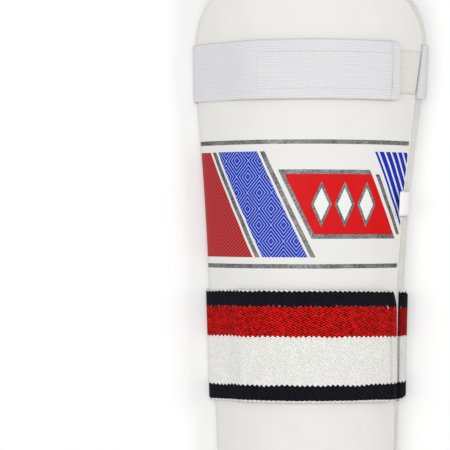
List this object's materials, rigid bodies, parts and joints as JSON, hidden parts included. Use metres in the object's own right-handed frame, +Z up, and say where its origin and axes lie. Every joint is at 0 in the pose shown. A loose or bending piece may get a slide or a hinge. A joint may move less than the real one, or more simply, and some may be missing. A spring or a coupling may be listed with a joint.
{
  "type": "cricket arm guard",
  "caption": "Arched forearm guard with a white padded front, a towelling lining and two hook and loop elastic straps round its open back.",
  "frame": {"origin": "middle of the bounding box on the surface that the guard lies on, open side down", "axes": "+Z up through the padded front, +Y along the forearm towards the elbow end, +X to the right of the front"},
  "size_m": [0.143, 0.31, 0.0473],
  "materials": {
    "shell": "smooth white coated cloth with a soft sheen",
    "lining": "matt off-white towelling",
    "white_elastic": "matt white ribbed elastic",
    "striped_elastic": "matt knitted elastic in navy, red and white stripes",
    "hook_and_loop": "matt cream hook and loop tape",
    "label": "smooth white woven tape"
  },
  "bodies": {
    "root": {"shell_pad": "shell", "lining_pad": "lining", "upper_strap": "white_elastic", "upper_loop_patch": "hook_and_loop", "upper_hook_patch": "hook_and_loop", "lower_strap": "striped_elastic", "lower_loop_patch": "hook_and_loop", "lower_hook_patch": "hook_and_loop", "side_label": "label"}
  },
  "joints": []
}
